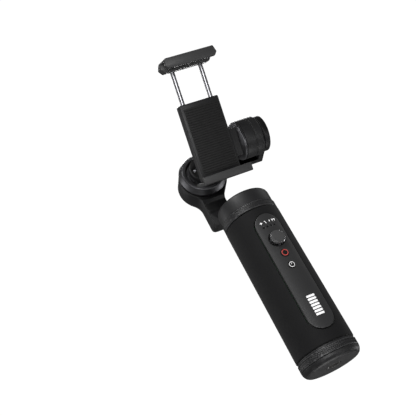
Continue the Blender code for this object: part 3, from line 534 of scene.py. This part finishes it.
def keys():
    """The record key with a red ring, the power key with its sign, and the joystick."""
    top = KEY_TOP
    for name, radius, height, outer, inner, print_look in (
        ("record", 2.2, RECORD_HEIGHT, 1.95, 1.54, RED_PRINT_GLOW), ("power", 1.95, POWER_HEIGHT, 1.65, 1.38, WHITE_PRINT_GLOW),
    ):
        place, body = on_panel(height), name + "_key"
        profile = mm((0, top - 0.06), (radius - 0.9, top - 0.02), (radius - 0.45, top), (radius, top - 0.35),
                     (radius, 15.5), (radius + 0.8, 15.5), (radius + 0.8, 14.9), (0, 14.9))
        turned(name + "_cap", profile, KEY, place, body, [name + "_button"], FINE, edge=0.15)
        profile = mm((inner, top + 0.05), (outer, top + 0.03), (outer, top - 0.25), (inner, top - 0.25))
        turned(name + "_ring", profile, print_look, place, body, sides=FINE, ring=True, edge=0.06)
    stroke = filleted(mm((-0.12, 0.1), (0.12, 0.1), (0.12, 1.4), (-0.12, 1.4)), 0.08 * MM, True)
    shape = drawn_shape([stroke], (top - 0.2) * MM, (top + 0.05) * MM, 0.02 * MM)
    add("power_stroke", shape, WHITE_PRINT_GLOW, on_panel(POWER_HEIGHT), "power_key")
    place = on_panel(STICK_HEIGHT)
    profile = mm((0, 21.6), (2.0, 21.62), (3.4, 21.56), (4.05, 21.36), (4.05, 20.7), (4.4, 20.6),
                 (4.4, 19.9), (4.0, 19.4), (1.1, 19.4))
    ball = arc((0, 13.5 * MM), 1.3 * MM, 32.2, -90, 14)
    ball[-1] = (0, 12.2 * MM)
    turned("stick_cap", profile + ball, STICK, place, "joystick_stick", ["joystick"], 96, edge=0.3)
    profile = mm((4.08, 21.36), (4.22, 21.34), (4.45, 20.95), (4.45, 20.65), (4.08, 20.72))
    turned("stick_rim", profile, CHROME, place, "joystick_stick", sides=96, ring=True, edge=0.05)
    profile = mm((0, 11.9), (4, 11.9), (4, 15.7), (4.9, 15.7), (4.9, 11.5), (0, 11.5))
    turned("stick_well", profile, PLASTIC, place, "grip", ["joystick_base"], FINE)


# --- Pan cap, arm and motors -------------------------------------------------------------------------------------
def pan_arm():
    turned(
        "turning_cap", mm(
            (0, 113.2), (15.6, 113.2), (16.6, 112.7), (17.2, 111.8), (17.4, 110.6), (17.4, 103.7), (17.15, 103.45),
            (17.15, 99.0), (15.3, 99.0), (15.3, 109.6), (2.5, 109.6), (2.5, 111.2), (0, 111.2),
        ), PLASTIC, ROOT, "pan_arm", ["pan_cap"], 160, edge=0.5,
    )
    knurled("turning_knurl", 17.9 * MM, 17.15 * MM, 98.95 * MM, 103.3 * MM, KNURL, "pan_arm", ["pan_cap"])
    toe_centre, toe_radius = 1.7 * MM, 7.66 * MM  # rounds the front end of the arm's foot
    toe = mm((-9, 1.7), (-9, -7.5), (9, -7.5), (9, 1.7)) + arc((0, toe_centre), toe_radius, 0, -180, 24)
    toe = drawn_shape([toe], 113.0 * MM, 119.0 * MM)
    polished("arm_casting", ["arm_bracket"], ARM, 0.35, [(toe, ROOT)])
    polished("arm_back_plate", ["arm_cover"], ARM, 0.2)
    for i, along in enumerate((-1.5, 9.5)):
        screw(f"arm_bolt_{i + 1}", f"arm_screw_{i + 1}", 1.9, 115.7, 117.4, Matrix.Translation((0, along * MM, 0)))


def screw(name, node, radius, low, top, place):
    """A pan head with a hex socket."""
    profile = mm((0, low), (radius, low), (radius, top - 0.35), (radius - 0.35, top), (0, top))
    item = turned(name, profile, STEEL, place, BODY_OF[node], [node], 48, edge=0.2)
    socket, reach = bmesh.new(), radius * 0.55 * MM
    bmesh.ops.create_cone(
        socket, cap_ends=True, segments=6, radius1=reach, radius2=reach, depth=1.6 * MM,
        matrix=Matrix.Translation((0, 0, top * MM)),
    )
    cut(item, socket, place)


def roll_motor():
    turned(
        "roll_bezel", mm(
            (0, -37.4), (11.6, -37.4), (12.1, -35.1), (12.6, -34.6), (14.7, -34.6), (15.2, -35.1), (17, -38.6),
            (17, -40.2), (14.1, -40.2), (14.1, -41.7), (12.4, -41.7), (12.4, -40.2), (2.1, -40.2), (2.1, -38.7),
            (0, -38.7),
        ), TURNED, ROLL, "roll_arm", ["roll_ring"], 192, edge=0.35,
    )
    polished("roll_yoke", ["roll_bracket"], ARM, 0.35)
    bolt_circle = 6.5 * MM
    for i, turn in enumerate((60, 180, 300)):
        x, z = bolt_circle * math.cos(math.radians(turn)), bolt_circle * math.sin(math.radians(turn))
        place = Matrix.Translation((x, 0, ROLL_AXIS.z + z)) @ OUTWARD
        screw(f"yoke_bolt_{i + 1}", f"bracket_screw_{i + 1}", 1.25, -31.3, -30.0, place)


def tilt_motor():
    turned(
        "tilt_can", mm(
            (0, 39), (12.3, 39), (13.5, 37.8), (13.5, 33.4), (13.2, 33.1), (13.2, 32.7), (13.5, 32.4),
            (13.5, 25.7), (11.9, 25.7), (11.9, 36.4), (4.5, 36.4), (4.5, 28.2), (3.5, 28.2), (3.5, 37.2),
            (0, 37.2),
        ), PLASTIC, TILT, "roll_arm", ["tilt_housing"], ROUND,
    )
    turned(
        "tilt_bezel", mm(
            (0, 23.8), (2, 23.8), (2, 25.4), (13.5, 25.4), (13.5, 23.8), (11.5, 21), (0, 21),
        ), TURNED, TILT, "clamp", ["tilt_rotor"], ROUND,
    )


# --- Clamp -------------------------------------------------------------------------------------------------------
def ribbed(name, node, x_range, low, high, pitch, face):
    """A rubber pad with ribs along X. low and high are its corners in Y and Z, and face is the ribbed side."""
    (y0, z0), (y1, z1) = low, high
    along_z = face == "front"
    start, stop = (z0, z1) if along_z else (y0, y1)
    count = int((stop - start - 0.6) / pitch)
    first = start + ((stop - start) - count * pitch) / 2
    line = []
    for i in range(count):
        at = first + i * pitch
        line += [(at, 0.0), (at + pitch * 0.16, 0.3), (at + pitch * 0.34, 0.3), (at + pitch * 0.5, 0.0)]
    if along_z:
        outline = [(y1, z0), (y1, z1), (y0, z1)] + [(y0 + d, z) for z, d in reversed(line)] + [(y0, z0)]
    elif face == "top":
        outline = [(y0, z0), (y1, z0), (y1, z1)] + [(y, z1 - d) for y, d in reversed(line)] + [(y0, z1)]
    else:
        outline = [(y1, z1), (y0, z1), (y0, z0)] + [(y, z0 + d) for y, d in line] + [(y1, z0)]
    shape = drawn_shape([mm(*outline)], x_range[0] * MM, x_range[1] * MM)
    sharp = [e for e in shape.edges if len(e.link_faces) == 2 and e.calc_face_angle() > math.radians(40)]
    bmesh.ops.bevel(
        shape, geom=sharp, offset=0.06 * MM, segments=2, profile=0.5, affect="EDGES", clamp_overlap=False,
    )
    add(name, shape, RUBBER, CLAMP @ SIDE_ON, BODY_OF[node], [node])


def clamp():
    polished("clamp_carriage", ["clamp_body"], PLASTIC, 0.25)
    polished("clamp_foot", ["lower_jaw"], CLAMP_GREY, 0.3)
    polished("clamp_head", ["upper_jaw"], CLAMP_GREY, 0.3)
    ribbed("back_grip_pad", "back_pad", (-10, 14), (-15.35, -14), (-14.55, 30), 1.6, "front")
    ribbed("lower_grip_pad", "lower_pad", (-14, 18), (-22.65, -18.35), (-15.55, -17.55), 1.2, "top")
    ribbed("upper_grip_pad", "upper_pad", (-12.5, 16.5), (-22.65, 60.35), (-15.55, 61.15), 1.2, "bottom")
    low, high = 6.8, 59.05
    for i, x in enumerate((-8, 12)):
        profile = mm((0, high), (1.2, high), (1.5, high - 0.3), (1.5, low + 0.3), (1.2, low), (0, low))
        place = CLAMP @ Matrix.Translation((x * MM, -10.2 * MM, 0))
        rod = [f"guide_rod_{i + 1}"]
        turned(f"slide_rod_{i + 1}", profile, STEEL, place, "sliding_jaw", rod, 48)


def inner_nodes():
    """Gives every CAD node that still shows its slot's material."""
    for node in frame["nodes"].values():
        for place in node.material_slots:
            if place.material:
                place.material = SLOT_LOOKS[place.material.name.split(".")[0]]


# --- Stage -------------------------------------------------------------------------------------------------------
FLOOR_HEIGHT = -0.14
ROOM_LIGHT = 0.12
LAMPS = (  # name, place, size and power
    ("key_softbox", (-0.40, -0.60, 0.85), 0.55, 5.4),
    ("front_softbox", (-0.25, -0.70, -0.12), 0.45, 2.7),
    ("rear_left_softbox", (-0.80, 0.40, 0.30), 0.6, 1.3),
    ("rear_softbox", (0.30, 0.75, 0.90), 0.6, 6.0),
    ("low_right_card", (0.32, -0.50, -0.40), 0.20, 0.45),
    ("base_card", (0.05, 0.25, -0.55), 0.4, 1.1),
    ("right_low_card", (0.51, 0.22, -0.14), 0.20, 0.3),
    ("right_panel", (0.70, 0.00, 0.50), 0.5, 0.4),
)


def stage():
    """A pale floor that casts nothing, a dim room behind white, and the soft lamps."""
    floor_look = Look("studio_floor", (0.04, 0.04, 0.04), 0.8, mottle=(400.0, 0.02), grain=(3.0, 0.05))
    floor_look = floor_look.done(Emission_Color=(1, 1, 1, 1), Emission_Strength=0.84)
    shape = bmesh.new()
    bmesh.ops.create_grid(shape, x_segments=8, y_segments=8, size=12.0)
    mesh = bpy.data.meshes.new("studio_floor")
    shape.to_mesh(mesh)
    shape.free()
    mesh.materials.append(floor_look)
    floor = bpy.data.objects.new("studio_floor", mesh)
    floor.location.z = FLOOR_HEIGHT
    floor.visible_diffuse = floor.visible_glossy = floor.visible_shadow = False
    bpy.context.scene.collection.objects.link(floor)

    world = bpy.data.worlds.new("studio")
    bpy.context.scene.world = world
    world.use_nodes = True
    nodes, links = world.node_tree.nodes, world.node_tree.links
    seen, lit = nodes["Background"], nodes.new("ShaderNodeBackground")
    seen.inputs["Color"].default_value = (1, 1, 1, 1)
    seen.inputs["Strength"].default_value = 1.05
    lit.inputs["Color"].default_value = (1, 1, 1, 1)
    lit.inputs["Strength"].default_value = ROOM_LIGHT
    path, choose = nodes.new("ShaderNodeLightPath"), nodes.new("ShaderNodeMixShader")
    links.new(path.outputs["Is Camera Ray"], choose.inputs[0])
    links.new(lit.outputs[0], choose.inputs[1])
    links.new(seen.outputs[0], choose.inputs[2])
    links.new(choose.outputs[0], nodes["World Output"].inputs["Surface"])

    target = Vector((0.0, 0.0, 0.11))
    for name, place, size, power in LAMPS:
        lamp = bpy.data.lights.new(name, "AREA")
        lamp.shape, lamp.size, lamp.energy = "DISK", size, power
        item = bpy.data.objects.new(name, lamp)
        item.location = place
        item.rotation_euler = (target - Vector(place)).to_track_quat("-Z", "Y").to_euler()
        bpy.context.scene.collection.objects.link(item)


CAMERA_PLACE = (-0.1381, -0.3501, -0.0655)
CAMERA_LENS = 57.63  # millimetres, on a sensor 36 mm wide


def camera():
    """Looks up at the gimbal from its lower left, rolled so that the grip runs down to the right."""
    lens = bpy.data.cameras.new("camera")
    lens.lens, lens.sensor_width = CAMERA_LENS, 36.0
    lens.clip_start, lens.clip_end = 0.01, 20.0
    item = bpy.data.objects.new("camera", lens)
    bpy.context.scene.collection.objects.link(item)
    right, forward = Vector((0.903, -0.0805, -0.423)), Vector((0.284, 0.849, 0.446))
    right = (right - forward * right.dot(forward) / forward.length_squared).normalized()
    forward.normalize()
    up = right.cross(forward).normalized()
    turn = Matrix((right, up, -forward)).transposed().to_4x4()
    item.matrix_world = Matrix.Translation(CAMERA_PLACE) @ turn
    bpy.context.scene.camera = item


grip()
panel()
marks()
keys()
pan_arm()
roll_motor()
tilt_motor()
clamp()
inner_nodes()
stage()
camera()
bpy.context.scene.view_settings.view_transform = "Standard"
